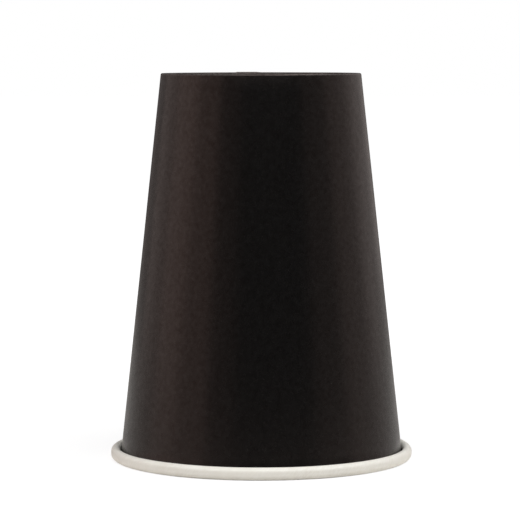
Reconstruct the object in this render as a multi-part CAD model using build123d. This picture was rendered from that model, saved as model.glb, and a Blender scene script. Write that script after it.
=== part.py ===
"""Paper cup with a rolled rim and a recessed base, standing mouth down on its rim."""

from build123d import *
import os
from math import atan2, cos, degrees, radians, sin, tan

# All lengths are in millimetres. Z is the cup's axis. The rolled rim rests on the
# plane z = 0 and the folded base edge is at the top.

# Overall sizes
rim_diameter = 90.0     # over the outside of the rolled rim
base_diameter = 59.4    # outside of the wall, carried on to the base edge's plane
cup_height = 115.0      # from the plane under the rim to the folded base edge

# Coated board
wall_board = 0.38       # thickness of the wall blank
base_board = 0.34       # thickness of the bottom blank

# Rolled rim: the wall's upper edge curled outwards in a spiral
roll_width = 2.8        # from the wall's outside, carried on to the rim's plane, outwards
roll_gap = 0.15         # space between one turn of the spiral and the next
roll_band = 0.7         # upright stretch where the rim is widest
roll_end_turn = 102.0   # last bend, which tucks the cut edge in, in degrees

# Base: the wall's lower edge is folded inwards over the bottom's skirt
recess_depth = 8.5      # from the base edge to the bottom's outer face
hem_space = 0.9         # from the folded edge's cut edge to the bottom
fold_bend = 0.45        # outside radius of both bends of the fold
bottom_bend = 0.7       # outside radius of the bend between the bottom and its skirt
skirt_space = 0.4       # from the skirt's cut edge to the inside of the fold
seal_gap = 0.03         # between the skirt and the board on each side of it

# Side seam: one edge of the blank lies over the other
seam_angle = 105.0      # direction of the upper layer's cut edge, in degrees
seam_lap = 7.0          # width of the overlap
seam_ramp = 3.0         # width over which the upper layer comes down to the wall
lap_tuck = 0.6          # how far the overlap reaches down behind the roll
lap_clear = 0.3         # how far the cut beside the lower layer starts off the wall

# Outside of the wall, carried on to the rim's plane
mouth_radius = rim_diameter / 2 - roll_width

# The wall leans by this angle, in radians, from the vertical.
lean = atan2(mouth_radius - base_diameter / 2, cup_height)
lean_degrees = degrees(lean)


def wall_radius(z, depth):
    """Radius at height z of the cone that lies this deep under the wall's outside."""
    return mouth_radius - z * tan(lean) - depth / cos(lean)


def spiral_radii():
    """Middle radius of each bend of the roll, from the wall to its cut edge."""
    shrink = (wall_board + roll_gap) / 4
    middle = wall_radius(wall_board / 2, wall_board / 2)
    room = rim_diameter / 2 - wall_board / 2 - middle + shrink
    first = room / (1 + cos(lean) - tan(lean) * (1 - sin(lean)))
    return [first - step * shrink for step in range(4)]


def sidewall_line():
    """Middle line of the wall blank, as radius and height: roll, wall, fold and hem."""
    radii = spiral_radii()
    mouth_z = wall_board / 2 + radii[0] * (1 - sin(lean))
    fold_z = cup_height - wall_board / 2
    hem_z = cup_height - recess_depth + hem_space
    hem_inset = wall_board * 1.5 + base_board + 2 * seal_gap
    mouth = (wall_radius(mouth_z, wall_board / 2), mouth_z)
    down = (sin(lean), -cos(lean))

    with BuildLine() as line:
        under = JernArc(mouth, down, radii[0], 90 - lean_degrees)
        outer = JernArc(under @ 1, under % 1, radii[1], 90)
        band = Line(outer @ 1, outer @ 1 + Vector(0, roll_band))
        over = JernArc(band @ 1, band % 1, radii[2], 90)
        JernArc(over @ 1, over % 1, radii[3], roll_end_turn)
        Polyline(
            mouth,
            (wall_radius(fold_z, wall_board / 2), fold_z),
            (wall_radius(fold_z, hem_inset), fold_z),
            (wall_radius(hem_z, hem_inset), hem_z),
        )
    return line.line


def bottom_line():
    """Middle line of the bottom blank, from the cup's axis to the skirt's cut edge."""
    depth = wall_board + seal_gap + base_board / 2
    disc_z = cup_height - recess_depth - base_board / 2
    skirt_z = cup_height - wall_board - skirt_space
    with BuildLine() as line:
        Polyline(
            (0, disc_z),
            (wall_radius(disc_z, depth), disc_z),
            (wall_radius(skirt_z, depth), skirt_z),
        )
    return line.line


def turned_board(line, board, corners, bend):
    """Board of this thickness along a line, turned once about the cup's axis.

    corners picks the outside corners of its section, which are bent to a radius.
    """
    section = Sketch() + trace(line, board).faces()
    section = fillet(corners(section.vertices()), bend)
    return revolve(Plane.XZ * section, Axis.Z)


def at_angle(radius, angle, z):
    """Point at this radius and height, in the direction of angle in degrees."""
    return (radius * cos(radians(angle)), radius * sin(radians(angle)), z)


def arc_at(radius, start, end, z):
    """Level arc about the cup's axis."""
    middle = (start + end) / 2
    return ThreePointArc(
        at_angle(radius, start, z), at_angle(radius, middle, z), at_angle(radius, end, z)
    )


def ramp_section(z, depth, root, start, lap):
    """Level section of a raised strip on the cone at this depth under the outside.

    The strip starts with a cut edge, runs level for lap and then comes down on a ramp.
    root is how far it reaches below the cone.
    """
    surface = wall_radius(z, depth)
    rise = wall_board / cos(lean)
    level_end = start - degrees(lap / surface)
    ramp_width = seam_ramp * (1 + root / rise)
    ramp_end = level_end - degrees(ramp_width / surface)
    bottom = arc_at(surface - root, start, ramp_end, z)
    step = Line(bottom @ 0, at_angle(surface + rise, start, z))
    edges = [bottom, step]
    peak = step @ 1
    if lap > 0:
        top = arc_at(surface + rise, start, level_end, z)
        edges.append(top)
        peak = top @ 1
    edges.append(Line(peak, bottom @ 1))
    return make_face(edges)


def seam_strip(low_z, high_z, depth, root, lap_before, lap):
    """Raised strip along the side seam between two heights.

    lap_before is how far it starts from the upper layer's cut edge.
    """
    sections = []
    for z in (low_z, high_z):
        start = seam_angle - degrees(lap_before / wall_radius(z, 0))
        sections.append(ramp_section(z, depth, root, start, lap))
    return loft(sections, ruled=True)


def fold_corners(vertices):
    """The two outside corners of the fold, which are the section's highest points."""
    return vertices.group_by(Axis.Y)[-1]


def skirt_corner(vertices):
    """The outside corner between the bottom and its skirt, lowest and furthest out."""
    return vertices.group_by(Axis.Y)[0].sort_by(Axis.X)[-1]


def make_sidewall():
    """Wall blank: lapped and sealed down one side, rolled at the rim, folded at the base."""
    fold_width = 2 * wall_board + base_board + 2 * seal_gap
    bend = min(fold_bend, 0.45 * fold_width)
    blank = turned_board(sidewall_line(), wall_board, fold_corners, bend)
    radii = spiral_radii()
    roll_top = wall_board + radii[1] + roll_band + radii[2]
    lap_top = cup_height - bend
    root = wall_board / 2
    overlap = seam_strip(roll_top - lap_tuck, lap_top, 0, root, 0, seam_lap)
    groove_low = wall_board / 2 + radii[0]
    groove_top = cup_height - recess_depth - base_board - bottom_bend
    groove = seam_strip(groove_low, groove_top, wall_board, lap_clear, seam_lap, 0)
    return blank + overlap - groove


def make_bottom():
    """Bottom disc with its skirt turned up beside the wall, inside the fold."""
    return turned_board(bottom_line(), base_board, skirt_corner, bottom_bend)


pieces = {"sidewall": make_sidewall(), "bottom_disc": make_bottom()}

os.makedirs("parts", exist_ok=True)
for name, piece in pieces.items():
    export_step(piece, f"parts/{name}.step")
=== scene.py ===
# %% [markdown]
# # A paper cup with a rolled rim, standing mouth down
#
# The real cup is made from two sheets of coated board. One is wrapped into a cone, lapped
# and sealed down its side, rolled outwards at the rim and folded inwards at the base. The
# other is the round bottom, whose edge is turned up and sealed inside that fold.
#
# The lesson follows the same order. It draws the edge of each sheet, turns it about the
# cup's axis, gives it its thickness, and then prints and lights it.

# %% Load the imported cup
from math import atan2, cos, degrees, hypot, pi, radians, sin, tan

import bmesh
import bpy
from mathutils import Matrix, Vector, noise


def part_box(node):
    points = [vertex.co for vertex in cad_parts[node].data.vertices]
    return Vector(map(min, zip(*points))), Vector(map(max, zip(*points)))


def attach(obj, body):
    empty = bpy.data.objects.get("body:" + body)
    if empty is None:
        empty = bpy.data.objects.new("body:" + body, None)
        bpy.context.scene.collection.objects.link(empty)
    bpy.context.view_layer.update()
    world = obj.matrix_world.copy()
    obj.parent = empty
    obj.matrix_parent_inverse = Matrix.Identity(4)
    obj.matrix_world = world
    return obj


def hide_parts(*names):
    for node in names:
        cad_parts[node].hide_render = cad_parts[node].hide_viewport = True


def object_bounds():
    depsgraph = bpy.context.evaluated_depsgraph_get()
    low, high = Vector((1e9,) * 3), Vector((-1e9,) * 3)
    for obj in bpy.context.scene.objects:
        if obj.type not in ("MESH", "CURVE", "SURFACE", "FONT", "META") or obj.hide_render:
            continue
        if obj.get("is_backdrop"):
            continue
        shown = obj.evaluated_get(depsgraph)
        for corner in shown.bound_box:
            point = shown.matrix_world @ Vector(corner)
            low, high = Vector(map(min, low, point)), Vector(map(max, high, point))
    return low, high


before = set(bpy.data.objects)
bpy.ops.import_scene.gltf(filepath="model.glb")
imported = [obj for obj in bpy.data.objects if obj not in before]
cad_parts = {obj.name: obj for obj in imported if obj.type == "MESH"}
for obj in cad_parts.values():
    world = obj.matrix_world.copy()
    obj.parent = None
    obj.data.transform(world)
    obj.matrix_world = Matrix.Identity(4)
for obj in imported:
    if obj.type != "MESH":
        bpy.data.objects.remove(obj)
solid_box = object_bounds()
MM = 0.001
wall_low, wall_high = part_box("sidewall")
rim_radius = wall_high.x
cup_height = wall_high.z
print(f"rim radius {rim_radius / MM:.2f} mm, height {cup_height / MM:.2f} mm")

# %% [markdown]
# ## Sizes of the board
#
# A few sizes repeat the drawing of the cup: how thick the board is, how far the roll stands
# out from the wall and how wide the base is. The rest is worked out from them and from the
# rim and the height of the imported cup.

# %% Name the sizes
wall_board = 0.38 * MM
base_board = 0.34 * MM
roll_width = 2.8 * MM
roll_gap = 0.15 * MM
roll_band = 0.7 * MM
roll_end_turn = radians(102)
base_radius = 29.7 * MM
fold_bend = 0.45 * MM
seal_gap = 0.03 * MM
recess_depth = 8.5 * MM
hem_space = 0.9 * MM
bottom_bend = 0.7 * MM
skirt_space = 0.4 * MM

mouth_radius = rim_radius - roll_width
lean = atan2(mouth_radius - base_radius, cup_height)


def wall_radius(height, depth=0.0):
    """Radius of the cone this deep under the wall's printed face, at a height."""
    return mouth_radius - height * tan(lean) - depth / cos(lean)


print(f"the wall leans by {degrees(lean):.2f} degrees")

# %% [markdown]
# ## Drawing with a pen
#
# The section of a folded sheet is a chain of straight runs and bends. The pen below keeps
# its last vertex and the direction in which it draws. A run extrudes that vertex, and a bend
# spins it about the bend's own centre, so no point of the chain has to be worked out.
#
# Each vertex also remembers how far along the sheet it lies. Spinning and solidifying copy
# that number to every new vertex, which later tells the creases where the roll is.

# %% Make the pen
class Pen:
    """Draws a chain of edges in the plane y = 0, with x as radius and z as height."""

    def __init__(self, mesh, vertex, heading, direction=1):
        self.mesh = mesh
        self.vertex = vertex
        self.heading = heading
        self.direction = direction
        self.along = mesh.verts.layers.float["along"]

    def step_to(self, vertex, length):
        """Goes on to a new vertex, this far along the sheet."""
        vertex[self.along] = self.vertex[self.along] + self.direction * length
        self.vertex = vertex

    def run(self, length, rows=1):
        """Straight run in equal rows."""
        way = Vector((cos(self.heading), 0, sin(self.heading)))
        for _ in range(rows):
            made = bmesh.ops.extrude_vert_indiv(self.mesh, verts=[self.vertex])
            bmesh.ops.translate(self.mesh, verts=made["verts"], vec=way * length / rows)
            self.step_to(made["verts"][0], length / rows)

    def bend(self, radius, turn, rows):
        """Bend to the left, seen with x to the right and z up."""
        left = Vector((-sin(self.heading), 0, cos(self.heading)))
        centre = self.vertex.co + left * radius
        for _ in range(rows):
            made = bmesh.ops.spin(
                self.mesh, geom=[self.vertex], cent=centre, axis=(0, -1, 0),
                angle=turn / rows, steps=1, use_merge=False, use_duplicate=False,
            )
            self.step_to(made["geom_last"][0], radius * turn / rows)
        self.heading += turn


def new_sheet(start):
    """Empty mesh with the numbers that each vertex keeps, and its first vertex."""
    mesh = bmesh.new()
    mesh.verts.layers.float.new("along")
    mesh.verts.layers.float.new("around")
    return mesh, mesh.verts.new(start)


# %% [markdown]
# ## The wall's section
#
# The chain is the printed face of the wall. From the mouth it goes two ways. Downwards it
# curls out into the roll, where the print ends up inside and the white face shows. Upwards
# it follows the wall, turns over the fold and comes down inside the base.
#
# The machine that curls the rim makes a spiral, because the board has to pass beside
# itself. Each quarter of the roll is therefore a little tighter than the one before it.

# %% Draw the wall's section
bend_rows = 8
wall_rows = 26
fold_rows = 4
hem_rows = 9
seam_swell = 0.12 * MM

shrink = (wall_board + roll_gap) / 4
middle = wall_radius(wall_board / 2, wall_board / 2)
room = rim_radius - wall_board / 2 - middle + shrink
first_bend = room / (1 + cos(lean) - tan(lean) * (1 - sin(lean)))
mouth_height = wall_board / 2 + first_bend * (1 - sin(lean))
inside_bend = first_bend - wall_board / 2

wall_sheet, mouth = new_sheet((wall_radius(mouth_height), 0, mouth_height))

roll_pen = Pen(wall_sheet, mouth, lean - pi / 2, direction=-1)
roll_pen.bend(inside_bend, pi / 2 - lean, bend_rows)
roll_pen.bend(inside_bend - shrink, pi / 2, bend_rows)
roll_pen.run(roll_band)
roll_pen.bend(inside_bend - 2 * shrink, pi / 2, bend_rows)
roll_pen.bend(inside_bend - 3 * shrink, roll_end_turn, bend_rows)

fold_top = cup_height - seam_swell
fold_width = 2 * wall_board + base_board + 2 * seal_gap
wall_length = (fold_top - fold_bend * (1 - sin(lean)) - mouth_height) / cos(lean)
hem_end = cup_height - recess_depth + hem_space

wall_pen = Pen(wall_sheet, mouth, lean + pi / 2)
wall_pen.run(wall_length, wall_rows)
wall_pen.bend(fold_bend, pi / 2 - lean, fold_rows)
wall_pen.run(fold_width / cos(lean) - 2 * fold_bend)
wall_pen.bend(fold_bend, pi / 2 + lean, fold_rows)
hem_start = wall_pen.vertex[wall_pen.along]
hem_length = (wall_pen.vertex.co.z - hem_end) / cos(lean)
wall_pen.run(hem_length, hem_rows)

print(f"the wall's chain has {len(wall_sheet.verts)} vertices")

# %% [markdown]
# ## Wrapping the blank
#
# The blank is wrapped by a full turn and a little more, so its last columns lie over its
# first ones. That overlap is the side seam. One spin would make the same shape, but a spin
# for each column lets every vertex note how far round the blank it is, and the two layers
# of the seam can still be told apart afterwards.

# %% Wrap the blank round the axis
column = radians(0.75)
lap_columns = 15
ramp_columns = 6
turn_columns = round(2 * pi / column)
seam_edge = radians(105)
blank_start = seam_edge - lap_columns * column


def wrap(mesh, start, columns):
    """Turns the mesh's chain about the cup's axis, one column at a time."""
    around = mesh.verts.layers.float["around"]
    place = Matrix.Rotation(start, 3, "Z")
    bmesh.ops.rotate(mesh, verts=mesh.verts, cent=(0, 0, 0), matrix=place)
    edge = mesh.verts[:] + mesh.edges[:]
    for number in range(columns):
        made = bmesh.ops.spin(
            mesh, geom=edge, cent=(0, 0, 0), axis=(0, 0, 1),
            angle=column, steps=1, use_merge=False, use_duplicate=False,
        )
        edge = made["geom_last"]
        for vertex in edge:
            if isinstance(vertex, bmesh.types.BMVert):
                vertex[around] = (number + 1) * column


def face_front(mesh, height, way):
    """Turns all faces over if the one nearest this height doesn't look this way."""
    mesh.normal_update()
    sample = min(mesh.faces, key=lambda face: abs(face.calc_center_median().z - height))
    if sample.normal.dot(way(sample.calc_center_median())) < 0:
        bmesh.ops.reverse_faces(mesh, faces=mesh.faces)
        mesh.normal_update()


wrap(wall_sheet, blank_start, turn_columns + lap_columns)
face_front(wall_sheet, cup_height / 2, lambda place: Vector((place.x, place.y, 0)))
print(f"the blank has {len(wall_sheet.faces)} faces")

# %% [markdown]
# ## Pressing the seam, the fold and the roll
#
# On the real cup the upper layer of the seam stands one board's thickness proud of the
# wall. The fold and the roll squeeze the two layers together, so there the step is lower.
# A wheel also presses small upright ribs into the hem, which seal it to the bottom's skirt.
# Last, no rolled board is perfectly even, so the roll and the fold waver by a few
# hundredths of a millimetre.
#
# All of it moves each vertex along the printed face's own normal.

# %% Find how high the seam and the ribs stand
roll_squeeze = 0.25
fold_squeeze = seam_swell / wall_board
hem_squeeze = 0.8
roll_ease = 2.4 * MM
fold_ease = 3 * MM
hem_ease = 2 * MM

rib_count = 120
rib_height = 0.07 * MM
rib_start = 0.9 * MM
rib_end = 0.8 * MM
rib_ease = 0.6 * MM


def ease(value, start, end):
    """Rises smoothly from 0 to 1 between two values."""
    share = min(max((value - start) / (end - start), 0), 1)
    return share * share * (3 - 2 * share)


def seam_lift(around, along):
    """How far the seam's upper layer stands proud at this place of the blank."""
    lap_start = 2 * pi
    ramp_start = lap_start - ramp_columns * column
    on_lap = ease(around, ramp_start, lap_start)
    squeeze = roll_squeeze + (1 - roll_squeeze) * ease(along, 0, roll_ease)
    squeeze += (fold_squeeze - 1) * ease(along, wall_length - fold_ease, wall_length)
    squeeze += (hem_squeeze - fold_squeeze) * ease(along, hem_start, hem_start + hem_ease)
    return on_lap * squeeze * wall_board


def rib_lift(angle, along):
    """Height of the sealing ribs on the hem."""
    first = hem_start + rib_start
    last = hem_start + hem_length - rib_end
    on_hem = ease(along, first, first + rib_ease) * (1 - ease(along, last - rib_ease, last))
    return on_hem * rib_height * (0.5 + 0.5 * cos(rib_count * angle))


print(f"the seam stands {seam_lift(2 * pi, wall_length / 2) / MM:.2f} mm proud on the wall")

# %% Press the sheet
cup_reach = 40 * MM
roll_swell = 0.015 * MM
roll_wave, roll_waver = 9 * MM, 0.05 * MM
roll_start = 1.5 * MM
wall_wave, wall_waver = 26 * MM, 0.04 * MM
waver_spread = 0.6


def waver(angle, along, size, depth):
    """Slow unevenness round the cup, from 0 to depth, with waves of about this size."""
    place = Vector((cos(angle), sin(angle), along / cup_reach)) * (cup_reach / size)
    return depth * min(max(0.5 + waver_spread * noise.noise(place), 0), 1)


def press(mesh):
    """Moves every vertex of the wall's sheet along its normal, and gives the largest move."""
    along_layer = mesh.verts.layers.float["along"]
    around_layer = mesh.verts.layers.float["around"]
    moves = []
    for vertex in mesh.verts:
        along = vertex[along_layer]
        around = vertex[around_layer]
        angle = blank_start + around
        lift = seam_lift(around, along) + rib_lift(angle, along)
        if along < 0:
            swell = roll_swell + waver(angle, along, roll_wave, roll_waver)
            lift += swell * ease(-along, 0, roll_start)
        else:
            lift -= waver(angle, min(along, wall_length), wall_wave, wall_waver)
        moves.append((vertex, vertex.normal * lift))
    for vertex, move in moves:
        vertex.co += move
    mesh.normal_update()
    return max(move.length for _, move in moves)


largest_move = press(wall_sheet)
print(f"no vertex moved by more than {largest_move / MM:.2f} mm")

# %% [markdown]
# ## Giving a sheet its thickness
#
# Solidify adds the second face behind the first one and closes the cut edges. The three
# kinds of face are then told apart by their vertices: all old, all new, or some of each.
# They take three finishes, printed or white for the two faces and bare board for the cut
# edges, and the edges between them are marked sharp so that they shade crisply.

# %% Give the sheets their thickness
front_finish, back_finish, edge_finish = 0, 1, 2


def thicken(mesh, board):
    """Adds the sheet's other face and its cut edges."""
    front = set(mesh.verts)
    bmesh.ops.solidify(mesh, geom=mesh.faces[:], thickness=board)
    for face in mesh.faces:
        old = sum(vertex in front for vertex in face.verts)
        face.smooth = True
        if old == len(face.verts):
            face.material_index = front_finish
        elif old == 0:
            face.material_index = back_finish
        else:
            face.material_index = edge_finish
    for edge in mesh.edges:
        finishes = {face.material_index for face in edge.link_faces}
        edge.smooth = len(finishes) == 1


def make_object(mesh, name):
    """Puts the mesh in a new object of the scene."""
    data = bpy.data.meshes.new(name)
    mesh.to_mesh(data)
    mesh.free()
    piece = bpy.data.objects.new(name, data)
    bpy.context.collection.objects.link(piece)
    print(f"{name}: {len(data.polygons)} faces")
    return piece


thicken(wall_sheet, wall_board)
cup_wall = make_object(wall_sheet, "cup_wall")

# %% [markdown]
# ## The bottom
#
# The bottom is a disc whose edge is turned up into a skirt. The skirt sits between the wall
# and the hem, and the flat part is what shows deep inside the base. The chain is its inner
# face, the one that the drink would touch, drawn from the axis outwards. It makes a full
# turn, so this time the spin can merge its first and last columns, and the vertices on the
# axis are merged into one.

# %% Make the bottom
crown = 0.15 * MM
disc_rows = 12
corner_rows = 8
skirt_rows = 6
same_place = 0.001 * MM
skirt_depth = wall_board + seal_gap

inner_face = cup_height - recess_depth - base_board
corner_radius = wall_radius(inner_face, skirt_depth)
flat_radius = corner_radius - bottom_bend * tan((pi / 2 + lean) / 2)
skirt_top = cup_height - wall_board - skirt_space

base_sheet, centre = new_sheet((0, 0, inner_face))
base_pen = Pen(base_sheet, centre, 0)
base_pen.run(flat_radius, disc_rows)
base_pen.bend(bottom_bend, pi / 2 + lean, corner_rows)
base_pen.run((skirt_top - base_pen.vertex.co.z) / cos(lean), skirt_rows)

bmesh.ops.spin(
    base_sheet, geom=base_sheet.verts[:] + base_sheet.edges[:],
    cent=(0, 0, 0), axis=(0, 0, 1), angle=2 * pi, steps=turn_columns // 2,
    use_merge=True, use_duplicate=False,
)
bmesh.ops.remove_doubles(base_sheet, verts=base_sheet.verts, dist=same_place)
bmesh.ops.recalc_face_normals(base_sheet, faces=base_sheet.faces)
face_front(base_sheet, inner_face, lambda place: Vector((0, 0, -1)))

for vertex in base_sheet.verts:
    reach = hypot(vertex.co.x, vertex.co.y) / flat_radius
    if reach < 1:
        vertex.co.z -= crown * (1 - reach * reach)

base_sheet.normal_update()
thicken(base_sheet, base_board)
cup_bottom = make_object(base_sheet, "cup_bottom")

# %% [markdown]
# ## Shared effects
#
# Coated board is never one flat colour. Its coating lies over fibres, so the colour and the
# gloss vary in soft clouds a millimetre or more wide, and in a finer grain. All finishes use
# the same two patterns, so they are one node group with its sizes as inputs.

# %% Make the tools for shader nodes
def plug(tree, value, socket):
    """Links an output to this socket, or sets a plain value on it."""
    if isinstance(value, bpy.types.NodeSocket):
        tree.links.new(value, socket)
    else:
        socket.default_value = value


def set_inputs(tree, node, **values):
    """Sets a node's inputs by name, each to a plain value or to another node's output."""
    for name, value in values.items():
        plug(tree, value, node.inputs[name.replace("_", " ")])
    return node


def add_node(tree, kind, **values):
    """New node with these inputs."""
    return set_inputs(tree, tree.nodes.new(kind), **values)


def remap(tree, value, start, end, low=0.0, high=1.0):
    """Turns what runs from start to end into what runs from low to high, and stops there."""
    node = add_node(
        tree, "ShaderNodeMapRange",
        Value=value, From_Min=start, From_Max=end, To_Min=low, To_Max=high,
    )
    return node.outputs["Result"]


def between(tree, share, low, high):
    """Value between two others, by a share from 0 to 1."""
    return remap(tree, share, 0.0, 1.0, low, high)


node_tools = (plug, set_inputs, add_node, remap, between)
print("tools made:", [tool.__name__ for tool in node_tools])

# %% Make the grain group
noise_low, noise_high = 0.3, 0.7


def object_noise(tree, scale, detail, roughness=0.5):
    """Noise that stays in place on the object, with its middle at 0.5."""
    place = tree.nodes.new("ShaderNodeTexCoord")
    node = add_node(
        tree, "ShaderNodeTexNoise",
        Vector=place.outputs["Object"], Scale=scale, Detail=detail, Roughness=roughness,
    )
    return node.outputs["Fac"]


def make_group(name, inputs, outputs):
    """Empty shader group with sockets for plain numbers, and its two end nodes."""
    group = bpy.data.node_groups.new(name, "ShaderNodeTree")
    for way, labels in (("INPUT", inputs), ("OUTPUT", outputs)):
        for label in labels:
            group.interface.new_socket(label, in_out=way, socket_type="NodeSocketFloat")
    return group, group.nodes.new("NodeGroupInput"), group.nodes.new("NodeGroupOutput")


def make_grain():
    """Soft clouds and a fine grain over any board."""
    group, start, end = make_group(
        "board grain", ["Cloud Scale", "Grain Scale"], ["Clouds", "Grain"]
    )
    clouds = object_noise(group, start.outputs["Cloud Scale"], detail=3.0, roughness=0.6)
    grain = object_noise(group, start.outputs["Grain Scale"], detail=4.0, roughness=0.65)
    set_inputs(
        group, end,
        Clouds=remap(group, clouds, noise_low, noise_high),
        Grain=remap(group, grain, noise_low, noise_high),
    )
    return group


board_grain = make_grain()
print("group made:", board_grain.name)

# %% [markdown]
# Curling the rim stretches the board, and it answers with fine creases that run slantwise
# across the roll. The second group draws them in the blank's own directions, with the
# numbers that the vertices kept: around the cup, and along the section. It fades them out
# where the roll ends, because the wall above it isn't stretched, and makes them fainter in
# patches.

# %% Make the crease group
noise_middle = 0.5
crease_stretch = 0.22
crease_width = 0.07
patch_scale = 55.0
patch_low, patch_high = 0.38, 0.62
faintest_crease = 0.25


def compute(tree, operation, *values):
    """Result of a sum whose values are plain numbers or other nodes' outputs."""
    node = tree.nodes.new("ShaderNodeMath")
    node.operation = operation
    for value, socket in zip(values, node.inputs):
        plug(tree, value, socket)
    return node.outputs[0]


def kept_number(tree, name):
    """A number that every vertex of the sheet has kept."""
    node = tree.nodes.new("ShaderNodeAttribute")
    node.attribute_name = name
    return node.outputs["Fac"]


def make_creases():
    """Fine slanted creases that only the roll has."""
    group, start, end = make_group("roll creases", ["Slant", "Spacing"], ["Crease"])
    around = compute(group, "MULTIPLY", kept_number(group, "around"), rim_radius / MM)
    along = compute(group, "MULTIPLY", kept_number(group, "along"), 1 / MM)
    slant = compute(group, "MULTIPLY", along, start.outputs["Slant"])
    slanted = compute(group, "ADD", around, slant)
    place = add_node(
        group, "ShaderNodeCombineXYZ",
        X=compute(group, "DIVIDE", slanted, start.outputs["Spacing"]),
        Y=compute(group, "MULTIPLY", along, crease_stretch),
    )
    lines = add_node(
        group, "ShaderNodeTexNoise",
        Vector=place.outputs["Vector"], Scale=1.0, Detail=3.0, Roughness=0.55,
    )
    off_line = compute(group, "SUBTRACT", lines.outputs["Fac"], noise_middle)
    crease = remap(group, compute(group, "ABSOLUTE", off_line), 0.0, crease_width, 1.0, 0.0)
    on_roll = remap(group, along, 0.0, -1.0)
    patches = object_noise(group, patch_scale, detail=1.0)
    strength = remap(group, patches, patch_low, patch_high, faintest_crease)
    shown = compute(group, "MULTIPLY", on_roll, strength)
    set_inputs(group, end, Crease=compute(group, "MULTIPLY", crease, shown))
    return group


roll_creases = make_creases()
print("group made:", roll_creases.name)

# %% [markdown]
# Folding the base edge over a sharp former stretches the print until it is full of tiny
# cracks, and the fold looks greyer than the wall. That lighter grey is partly a painted
# highlight too, standing in for the light that the fold's bend catches. The third group
# marks that edge. It finds the fold by the distance along the section and breaks the mark
# up with a noise, so that it doesn't look like a painted ring.

# %% Make the fold wear group
crack_scale = 900.0
crack_low, crack_high = 0.35, 0.6
faintest_crack = 0.35


def build_wear_and_highlight_group():
    """Cracked print along the folded edge, and partly a painted highlight on it."""
    group, start, end = make_group("fold wear", ["Spread"], ["Wear"])
    fold_middle = (wall_length + hem_start) / 2
    fold_half = (hem_start - wall_length) / 2
    off_middle = compute(group, "SUBTRACT", kept_number(group, "along"), fold_middle)
    off_fold = compute(group, "SUBTRACT", compute(group, "ABSOLUTE", off_middle), fold_half)
    off_share = compute(group, "DIVIDE", off_fold, start.outputs["Spread"])
    near = between(group, off_share, 1.0, 0.0)
    cracks = object_noise(group, crack_scale, detail=3.0, roughness=0.6)
    broken = remap(group, cracks, crack_low, crack_high, faintest_crack)
    set_inputs(group, end, Wear=compute(group, "MULTIPLY", near, broken))
    return group


fold_wear_and_highlight = build_wear_and_highlight_group()
print("group made:", fold_wear_and_highlight.name)

# %% [markdown]
# ## The printed face
#
# The outside is printed in one solid warm black and sealed with a satin coating. It reads
# as black only where nothing bright is mirrored in it, so the colour itself is very dark
# and the light on the wall comes from the gloss. That gloss is slightly warm, and a thin
# varnish lies over it that is thicker in the clouds. The roughness varies with the grain.
# Together they make it look like board and not like plastic.

# %% Make the printed finish
def new_material(name, **values):
    """Material with a Principled shader and these plain values."""
    material = bpy.data.materials.new(name)
    material.use_nodes = True
    tree = material.node_tree
    return material, tree, set_inputs(tree, tree.nodes["Principled BSDF"], **values)


def place_group(tree, group, **values):
    """Outputs of this group, placed in the material with its own values."""
    node = tree.nodes.new("ShaderNodeGroup")
    node.node_tree = group
    return set_inputs(tree, node, **values).outputs


def mix_colours(tree, share, first, second):
    """Colour between two, each plain or from another node, by a share from 0 to 1."""
    node = tree.nodes.new("ShaderNodeMix")
    node.data_type = "RGBA"
    plug(tree, share, node.inputs["Factor"])
    plug(tree, first, node.inputs[6])
    plug(tree, second, node.inputs[7])
    return node.outputs[2]


def relief(tree, height, depth):
    """Normal of a relief of this depth, in metres, where the height is 1."""
    node = add_node(tree, "ShaderNodeBump", Height=height, Distance=depth)
    return node.outputs["Normal"]


def make_print():
    """Warm black print under a satin coating."""
    material, tree, shader = new_material(
        "black_print", IOR=1.5, Specular_IOR_Level=0.40, Specular_Tint=(1.0, 0.75, 0.67, 1),
        Coat_Roughness=0.265, Coat_IOR=1.5,
    )
    grain = place_group(tree, board_grain, Cloud_Scale=690.0, Grain_Scale=1500.0)
    wear = place_group(tree, fold_wear_and_highlight, Spread=0.15 * MM)
    darker, lighter = (0.0018, 0.0023, 0.0025, 1), (0.0033, 0.0038, 0.0040, 1)
    # Lighter grey along the fold: cracked print, and partly a painted highlight on the fold's
    # bend.
    cracked_and_highlit = (0.048, 0.043, 0.041, 1)
    clean = mix_colours(tree, grain["Clouds"], darker, lighter)
    set_inputs(
        tree, shader,
        Base_Color=mix_colours(tree, wear["Wear"], clean, cracked_and_highlit),
        Coat_Weight=between(tree, grain["Clouds"], 0.0, 0.32),
        Roughness=between(tree, grain["Grain"], 0.25, 0.28),
        Normal=relief(tree, grain["Grain"], depth=0.003 * MM),
    )
    return material


printed_face = make_print()
print("finish made:", printed_face.name)

# %% [markdown]
# ## The white face and the cut edge
#
# The inside of the board is left white and coated against the drink. It is slightly warm,
# shinier than plain paper, and a touch darker in the creases, where the darkening is painted
# shade over their relief. Where the board is cut it isn't coated, so the edge is duller,
# yellower and more fibrous.

# %% Make the white finish
crease_shade_strength = 0.35
crease_depth = 4.0


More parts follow.
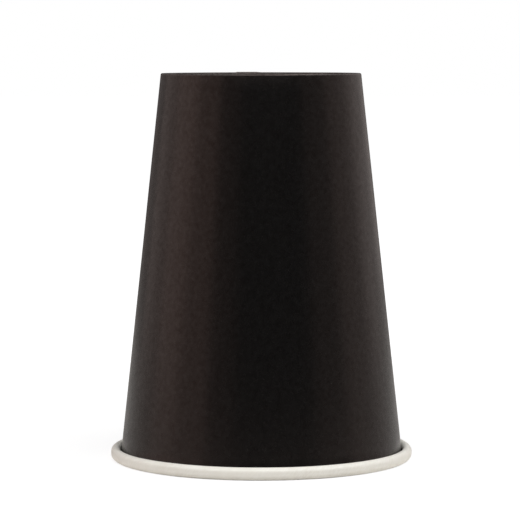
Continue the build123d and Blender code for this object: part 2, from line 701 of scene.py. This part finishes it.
def make_white():
    """Warm white coated board, with painted shade in the roll's creases."""
    material, tree, shader = new_material("white_coating", IOR=1.46)
    grain = place_group(tree, board_grain, Cloud_Scale=260.0, Grain_Scale=1900.0)
    creases = place_group(tree, roll_creases, Slant=0.9, Spacing=1.3)
    darker, lighter = (0.80, 0.783, 0.72, 1), (0.84, 0.828, 0.775, 1)
    crease_shade_colour = (0.70, 0.66, 0.59, 1)
    clean = mix_colours(tree, grain["Clouds"], darker, lighter)
    crease = creases["Crease"]
    # The creases are also darkened in colour: painted shade, on top of the shade from their
    # relief.
    share = between(tree, crease, 0.0, crease_shade_strength)
    height = compute(tree, "MULTIPLY_ADD", crease, -crease_depth, grain["Grain"])
    set_inputs(
        tree, shader,
        Base_Color=mix_colours(tree, share, clean, crease_shade_colour),
        Roughness=between(tree, grain["Grain"], 0.42, 0.56),
        Normal=relief(tree, height, depth=0.006 * MM),
    )
    return material


white_face = make_white()
print("finish made:", white_face.name)

# %% Make the raw finish and finish the sheets
def make_raw_edge():
    """Uncoated board where it was cut."""
    material, tree, shader = new_material("bare_board", IOR=1.4)
    grain = place_group(tree, board_grain, Cloud_Scale=420.0, Grain_Scale=4200.0)
    darker, lighter = (0.56, 0.50, 0.41, 1), (0.76, 0.71, 0.62, 1)
    set_inputs(
        tree, shader,
        Base_Color=mix_colours(tree, grain["Grain"], darker, lighter),
        Roughness=between(tree, grain["Clouds"], 0.75, 0.92),
        Normal=relief(tree, grain["Grain"], depth=0.03 * MM),
    )
    return material


raw_edge = make_raw_edge()

for finish in (printed_face, white_face, raw_edge):
    cup_wall.data.materials.append(finish)
for finish in (white_face, white_face, raw_edge):
    cup_bottom.data.materials.append(finish)
print("finish made:", raw_edge.name)

# %% [markdown]
# ## Joining the pieces to the imported cup
#
# Each sheet stands for its solid in the imported cup, which is then hidden and only used by
# the physics. Both ride on the one body, since nothing on a paper cup moves.

# %% Stand in for the solids
for piece, node, slot in (
    (cup_wall, "sidewall", "printed_board"),
    (cup_bottom, "bottom_disc", "white_board"),
):
    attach(piece, "root")
    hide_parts(node)
print("pieces in place:", cup_wall.name, cup_bottom.name)

# %% [markdown]
# ## The floor and the white around it
#
# The cup stands on a plain pale floor in a white room, as in a product photograph. Only the
# camera sees that full white. The light that falls on the cup from below and behind comes
# from the floor's pale colour and from a dim world, so the black print stays black. Near
# the cup the floor keeps a faint shadow, and further out it fades into the white.
#
# For that light the floor's colour is a painted pool of light. It gives back most light right
# beside the cup, where it brightens the underside of the roll. In front of the cup it is
# painted dark and gives back little, or the middle of the wall would mirror it and turn grey.

# %% Choose how bright the floor is
# Each row says where a change starts and ends, in metres, and its two levels. The fourth
# says where the return beside the cup gives way to the one further out.
glow_outwards = (0.06, 0.30, 0.84, 1.0)
# The next two rows paint a pool of light into the floor's colour, dark in front and bright
# beside the cup.
far_painted_return = (-0.30, -0.10, 0.10, 0.50)
near_painted_return = (-0.045, -0.018, 0.70, 0.95)
near_to_far = (0.052, 0.085)
return_tone = (1.0, 0.975, 0.94)
shadow_grey = (0.22, 0.22, 0.22, 1)
white = (1, 1, 1, 1)


def seen_floor(tree, distance):
    """Shader for the camera: nearly white, with the cup's faint shadow."""
    shaded = add_node(tree, "ShaderNodeBsdfDiffuse", Color=shadow_grey)
    strength = remap(tree, distance, *glow_outwards)
    glow = add_node(tree, "ShaderNodeEmission", Color=white, Strength=strength)
    both = tree.nodes.new("ShaderNodeAddShader")
    plug(tree, shaded.outputs[0], both.inputs[0])
    plug(tree, glow.outputs[0], both.inputs[1])
    return both.outputs[0]


def felt_floor(tree, distance, depth):
    """Shader for all other light: how much the floor gives back to the cup, a painted pool of
    light.
    """
    level = tree.nodes.new("ShaderNodeMix")
    plug(tree, remap(tree, distance, *near_to_far), level.inputs[0])
    plug(tree, remap(tree, depth, *near_painted_return), level.inputs[2])
    plug(tree, remap(tree, depth, *far_painted_return), level.inputs[3])
    toned = tree.nodes.new("ShaderNodeVectorMath")
    toned.operation = "SCALE"
    plug(tree, return_tone, toned.inputs[0])
    plug(tree, level.outputs[0], toned.inputs["Scale"])
    plain = add_node(tree, "ShaderNodeBsdfDiffuse", Color=toned.outputs["Vector"])
    return plain.outputs[0]


print("the floor gives back", near_painted_return[2:], "beside the cup,", far_painted_return[2:], "further out")

# %% Lay the floor
floor_reach = 6.0


def make_floor_finish():
    """Pale floor that the camera sees as white."""
    material = bpy.data.materials.new("pale_floor")
    material.use_nodes = True
    tree = material.node_tree
    tree.nodes.remove(tree.nodes["Principled BSDF"])
    place = tree.nodes.new("ShaderNodeTexCoord").outputs["Object"]
    reach = tree.nodes.new("ShaderNodeVectorMath")
    reach.operation = "LENGTH"
    plug(tree, place, reach.inputs[0])
    distance = reach.outputs["Value"]
    depth = add_node(tree, "ShaderNodeSeparateXYZ", Vector=place).outputs["Y"]
    choose = tree.nodes.new("ShaderNodeMixShader")
    rays = tree.nodes.new("ShaderNodeLightPath")
    plug(tree, rays.outputs["Is Camera Ray"], choose.inputs["Fac"])
    plug(tree, felt_floor(tree, distance, depth), choose.inputs[1])
    plug(tree, seen_floor(tree, distance), choose.inputs[2])
    plug(tree, choose.outputs[0], tree.nodes["Material Output"].inputs["Surface"])
    return material


floor_mesh = bmesh.new()
bmesh.ops.create_grid(floor_mesh, x_segments=1, y_segments=1, size=floor_reach)
floor = make_object(floor_mesh, "floor")
floor.data.materials.append(make_floor_finish())
floor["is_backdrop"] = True

# %% Fill the room with light
world_light = 0.05


def make_world():
    """White for the camera, and a dim even light for everything else."""
    world = bpy.data.worlds.new("white_room")
    bpy.context.scene.world = world
    world.use_nodes = True
    tree = world.node_tree
    rays = tree.nodes.new("ShaderNodeLightPath")
    strength = between(tree, rays.outputs["Is Camera Ray"], world_light, 1.0)
    set_inputs(tree, tree.nodes["Background"], Color=white, Strength=strength)
    return world


print("world made:", make_world().name)

# %% [markdown]
# ## Lighting
#
# Four softboxes high up light the roll and the base. Two rows of lower ones reach down to
# the floor, and the wall mirrors them as the grey bands at its left and right. The left row
# is a little warmer. Between the rows, in front, it is dark, so the middle of the wall is
# almost black. Each softbox is placed by its direction from the cup, with the camera at
# azimuth 0.

# %% Hang the high softboxes
cup_middle = Vector((0, 0, cup_height / 2))
lamp_distance = 1.0


def softbox(name, azimuth, elevation, size, brightness, colour=(1, 1, 1)):
    """Area light of this width and height, aimed at the middle of the cup."""
    turn, rise = radians(azimuth), radians(elevation)
    way = Vector((sin(turn) * cos(rise), -cos(turn) * cos(rise), sin(rise)))
    data = bpy.data.lights.new(name, "AREA")
    data.shape = "RECTANGLE"
    data.size, data.size_y = size
    data.energy = brightness * size[0] * size[1] * pi
    data.color = colour
    lamp = bpy.data.objects.new(name, data)
    lamp.location = cup_middle + way * lamp_distance
    lamp.rotation_euler = way.to_track_quat("Z", "Y").to_euler()
    bpy.context.collection.objects.link(lamp)
    return lamp


# Each row is a name, an azimuth and an elevation in degrees, a size and a brightness.
high_lamps = (
    ("key_softbox", 0, 52, (0.9, 0.55), 3.65),
    ("right_key_softbox", 45, 55, (0.8, 0.5), 2.8),
    ("left_key_softbox", -75, 52, (0.8, 0.5), 1.6),
    ("far_right_key_softbox", 90, 52, (0.8, 0.5), 1.8),
)
for row in high_lamps:
    softbox(*row)
print("high lamps:", len(bpy.data.lights))

# %% Hang the side softboxes
# Each pair is an azimuth in degrees and a brightness.
left_side = ((-150, 0.13), (-120, 0.44), (-90, 0.78), (-62, 0.50), (-38, 0.13))
right_side = ((60, 0.15), (90, 0.38), (120, 0.50), (150, 0.36))
left_tone, right_tone = (1, 0.82, 0.77), (1, 0.88, 0.84)
side_elevation = 15.5
side_size = (0.52, 0.66)

for side, tone in ((left_side, left_tone), (right_side, right_tone)):
    for azimuth, brightness in side:
        name = f"side_softbox_{azimuth % 360}"
        softbox(name, azimuth, side_elevation, side_size, brightness, tone)

# %% [markdown]
# ## The camera
#
# The photograph looks slightly down on the cup from about 0.8 m, with a long lens. The
# values were found by laying the rim, the base and the wall's edges over it. The view is
# turned very slightly, because the photographed cup doesn't stand quite upright.

# %% Set up the camera
# The sensor and the lens are in millimetres, look_down in degrees, view_turn in radians.
sensor_width = 36
lens_length = 182.9
camera_place = (-0.00036, -0.785, 0.1221)
look_down = 4.575
view_turn = -0.001


def place_camera():
    """Camera at the photograph's viewing angle."""
    data = bpy.data.cameras.new("camera")
    data.sensor_width = sensor_width
    data.lens = lens_length
    camera = bpy.data.objects.new("camera", data)
    bpy.context.collection.objects.link(camera)
    camera.location = camera_place
    tilt = Matrix.Rotation(radians(90 - look_down), 4, "X")
    turn = Matrix.Rotation(view_turn, 4, "Z")
    camera.rotation_euler = (tilt @ turn).to_euler()
    bpy.context.scene.camera = camera
    return camera


camera = place_camera()
bpy.context.scene.view_settings.view_transform = "Standard"
print("camera at", [round(value, 3) for value in camera.location])

# %% [markdown]
# ## The size
#
# The visible cup must not be larger than the imported one, since everything that is built
# with it relies on that size. Both boxes are printed.

# %% Write the sizes
shown_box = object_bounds()
for label, box in (("packed", solid_box), ("shown", shown_box)):
    print(label, [round(value / MM, 3) for corner in box for value in corner])
